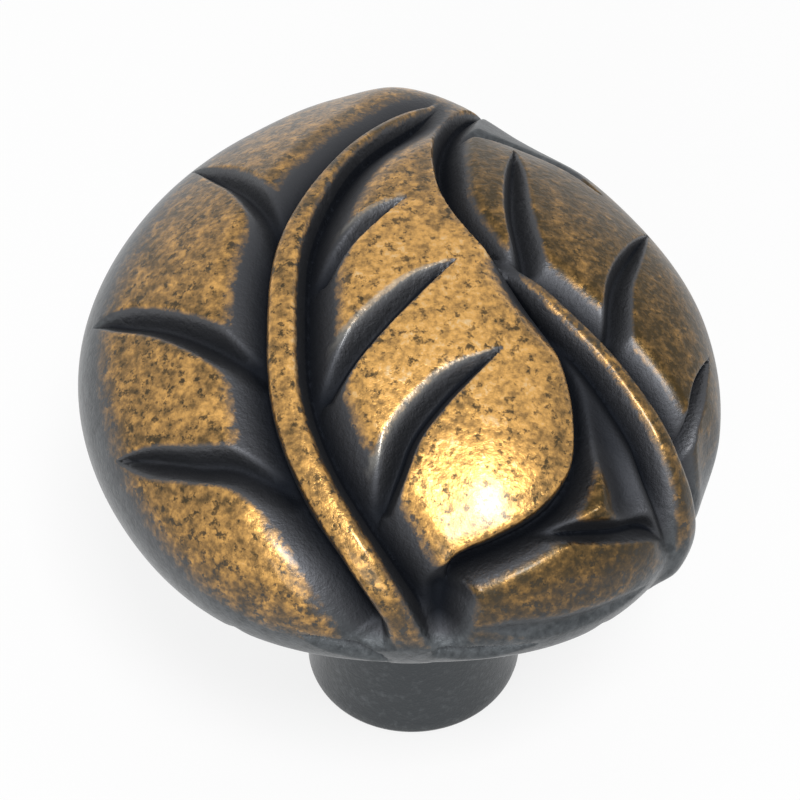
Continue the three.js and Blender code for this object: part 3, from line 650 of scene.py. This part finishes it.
def antiqueBrass():
    look = brassLook
    material = bpy.data.materials.new("Antique brass, rubbed over black patina")
    material.use_nodes = True
    tree = material.node_tree
    tree.nodes.clear()
    place = addNode(tree, "ShaderNodeTexCoord").outputs["Object"]

    def attribute(name):
        return addNode(tree, "ShaderNodeAttribute", attribute_name=name).outputs["Fac"]

    def pattern(name):
        size, detail, roughness = look[name]
        values = {"Vector": place, "Scale": 1 / (size * mm), "Detail": detail,
                  "Roughness": roughness}
        return addNode(tree, "ShaderNodeTexNoise", values).outputs["Fac"]

    def ranged(value, name):
        sockets = ("From Min", "From Max", "To Min", "To Max")
        values = {"Value": value, **dict(zip(sockets, look[name]))}
        return addNode(tree, "ShaderNodeMapRange", values).outputs["Result"]

    def combine(operation, *values):
        result = values[0]
        for value in values[1:]:
            inputs = {0: result, 1: value}
            result = addNode(tree, "ShaderNodeMath", inputs, operation=operation).outputs[0]
        return result

    def mixed(share, one, other):
        inputs = {"Factor": share, 6: one, 7: other}  # the colour sockets, which share their names
        return addNode(tree, "ShaderNodeMix", inputs, data_type="RGBA").outputs[2]

    def ramp(value, name):
        node = addNode(tree, "ShaderNodeValToRGB", {"Fac": value})
        elements = node.color_ramp.elements
        while len(elements) < len(look[name]):
            elements.new(0.5)
        for element, (position, code) in zip(elements, look[name]):
            element.position = position
            element.color = screenColour(code)
        return node.outputs["Color"]

    mottle, speck, sand = pattern("mottle"), pattern("speck"), pattern("sand")
    flecks = ranged(pattern("fleck"), "fleckRub")
    grain = combine("ADD", ranged(mottle, "mottleRub"), ranged(speck, "speckRub"), flecks)
    relief, arc, lowLeaf = attribute("relief"), attribute("arc"), attribute("lowLeaf")
    closeHollow, wideHollow = attribute("closeHollow"), attribute("wideHollow")
    outlying, paintedGlint = attribute("outlying"), attribute("paintedGlint")
    # the brass is brighter on edges and where the thumb goes, and less so on the second leaf
    rubbed = combine("ADD", ranged(closeHollow, "edgeRub"), grain,
                     ranged(attribute("handled"), "handRub"), ranged(lowLeaf, "lowLeafRub"),
                     ranged(wideHollow, "roundRub"))
    brass = ramp(rubbed, "brass")
    # patina is left in the hollows, on the slopes to them and towards the rim
    depth = ranged(relief, "depth")
    field = combine("ADD", depth, ranged(wideHollow, "slopes"), ranged(arc, "rim"),
                    ranged(outlying, "outlying"), ranged(arc, "below"),
                    ranged(attribute("veinShade"), "veins"))
    second = combine("MULTIPLY", lowLeaf, ranged(arc, "second"))
    speckled = combine("MULTIPLY", grain, look["grainShare"])
    patina = ranged(combine("ADD", field, second, speckled), "patina")
    sunken = combine("MAXIMUM", ranged(relief, "sunken"), ranged(closeHollow, "narrow"))
    worn = mixed(ranged(field, "thick"), ramp(rubbed, "thinPatina"), ramp(sunken, "thickPatina"))
    # the gunmetal is darker down the stem: painted shade
    grey = combine("ADD", combine("MULTIPLY", combine("ADD", mottle, speck), look["greyGrain"]),
                   ranged(arc, "stemPaintedShade"))
    outward = combine("MAXIMUM", ranged(arc, "greyRim"), ranged(outlying, "greyOutlying"))
    outward = combine("MULTIPLY", outward, ranged(sunken, "greyShallow"))
    colour = mixed(patina, brass, mixed(outward, worn, ramp(grey, "gunmetal")))
    # painted highlight: silver colour along vein bank tops and the second rib's left shoulder
    colour = mixed(combine("MULTIPLY", paintedGlint, look["silverShare"]), colour,
                   ramp(rubbed, "silver"))
    # cast grain, rougher where the patina is thick
    height = combine("ADD", mottle, speck, combine("MULTIPLY", sand, ranged(patina, "sandShare")),
                     combine("MULTIPLY", flecks, look["fleckDepth"]))
    bump = addNode(tree, "ShaderNodeBump", {"Height": height, "Distance": look["grainDepth"] * mm,
                                            "Strength": 1.0})
    dull = combine("ADD", combine("MULTIPLY", patina, look["patinaDulls"]), sunken,
                   combine("MULTIPLY", paintedGlint, look["silverDulls"]))
    lacquer = combine("MULTIPLY", ranged(depth, "lacquer"), ranged(lowLeaf, "lowLeafLacquer"))
    shader = addNode(tree, "ShaderNodeBsdfPrincipled", {
        "Base Color": colour, "Metallic": 1.0, "Roughness": ranged(dull, "roughness"),
        "Coat Weight": lacquer, "Coat Roughness": look["lacquerRoughness"],
        "Normal": bump.outputs["Normal"]})
    addNode(tree, "ShaderNodeOutputMaterial", {"Surface": shader.outputs["BSDF"]})
    return material


casting = castKnob()
casting.data.materials.append(antiqueBrass())
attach(casting, "root")
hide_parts("knob")
print("casting dressed")


# White sweep: the floor keeps part of its shadow, and metal sees the same white as the camera
studio = {"floorHalf": 0.6, "floorColour": "F4F4F4", "floorGlow": 0.8, "worldLevel": 0.55,
          "lampAim": (0, 0, 0.02)}


def seenDirectly(tree):
    path = addNode(tree, "ShaderNodeLightPath").outputs
    seen = path["Is Camera Ray"]
    for ray in ("Is Glossy Ray", "Is Transmission Ray"):
        inputs = {0: seen, 1: path[ray]}
        seen = addNode(tree, "ShaderNodeMath", inputs, operation="MAXIMUM").outputs[0]
    return seen


def makeFloor():
    bm = bmesh.new()
    bmesh.ops.create_grid(bm, x_segments=1, y_segments=1, size=studio["floorHalf"])
    mesh = bpy.data.meshes.new("studioFloor")
    bm.to_mesh(mesh)
    bm.free()
    floor = bpy.data.objects.new("studioFloor", mesh)
    bpy.context.scene.collection.objects.link(floor)
    material = bpy.data.materials.new("White paper")
    material.use_nodes = True
    tree = material.node_tree
    tree.nodes.clear()
    paper = addNode(tree, "ShaderNodeBsdfDiffuse", {"Color": screenColour(studio["floorColour"])})
    glow = addNode(tree, "ShaderNodeEmission", {"Color": (1, 1, 1, 1), "Strength": 1.0})
    inputs = {0: seenDirectly(tree), 1: studio["floorGlow"]}
    share = addNode(tree, "ShaderNodeMath", inputs, operation="MULTIPLY")
    inputs = {0: share.outputs[0], 1: paper.outputs[0], 2: glow.outputs[0]}
    mix = addNode(tree, "ShaderNodeMixShader", inputs)
    addNode(tree, "ShaderNodeOutputMaterial", {"Surface": mix.outputs[0]})
    mesh.materials.append(material)


def makeWorld():
    world = bpy.data.worlds.new("White studio")
    bpy.context.scene.world = world
    world.use_nodes = True
    tree = world.node_tree
    tree.nodes.clear()
    inputs = {"Value": seenDirectly(tree), "To Min": studio["worldLevel"], "To Max": 1.0}
    level = addNode(tree, "ShaderNodeMapRange", inputs)
    inputs = {"Color": (1, 1, 1, 1), "Strength": level.outputs[0]}
    background = addNode(tree, "ShaderNodeBackground", inputs)
    addNode(tree, "ShaderNodeOutputWorld", {"Surface": background.outputs[0]})


# A lamp: its direction from the place it aims at, its distance and width in metres, and its power
# in watts
lamps = {
    "overheadSoftbox": {"towards": (0.1, -0.48, 0.87), "distance": 0.5, "width": 0.1,
                        "power": 1.45},
    "frontSoftbox": {"towards": (-0.25, -0.9, 0.45), "distance": 0.6, "width": 0.3,
                     "power": 0.8},
}


def makeLamps():
    for name, form in lamps.items():
        light = bpy.data.lights.new(name, "AREA")
        light.energy = form["power"]
        light.size = form["width"]
        lamp = bpy.data.objects.new(name, light)
        away = Vector(form["towards"]).normalized()
        lamp.location = Vector(studio["lampAim"]) + away * form["distance"]
        lamp.rotation_euler = away.to_track_quat("Z", "Y").to_euler()
        bpy.context.scene.collection.objects.link(lamp)


# The photograph's camera: looking down at the front of the knob
cameraForm = {"lens": 132.1, "sensor": 36, "elevation": 49.11, "roll": -2.717, "distance": 0.16,
              "target": (-0.00012, 0, 0.02285)}


def makeCamera():
    form = cameraForm
    tilt, roll = math.radians(form["elevation"]), math.radians(form["roll"])
    ahead = Vector((0, math.cos(tilt), -math.sin(tilt)))
    level = Vector((1, 0, 0))
    upright = level.cross(ahead)
    right = level * math.cos(roll) + upright * math.sin(roll)
    up = upright * math.cos(roll) - level * math.sin(roll)
    data = bpy.data.cameras.new("photoCamera")
    data.lens = form["lens"]
    data.sensor_width = form["sensor"]
    camera = bpy.data.objects.new("photoCamera", data)
    axes = Matrix((right, up, -ahead)).transposed().to_4x4()
    place = Vector(form["target"]) - ahead * form["distance"]
    camera.matrix_world = Matrix.Translation(place) @ axes
    bpy.context.scene.collection.objects.link(camera)
    bpy.context.scene.camera = camera


makeFloor()
makeWorld()
makeLamps()
makeCamera()
bpy.context.scene.view_settings.view_transform = "Standard"
print("studio set")
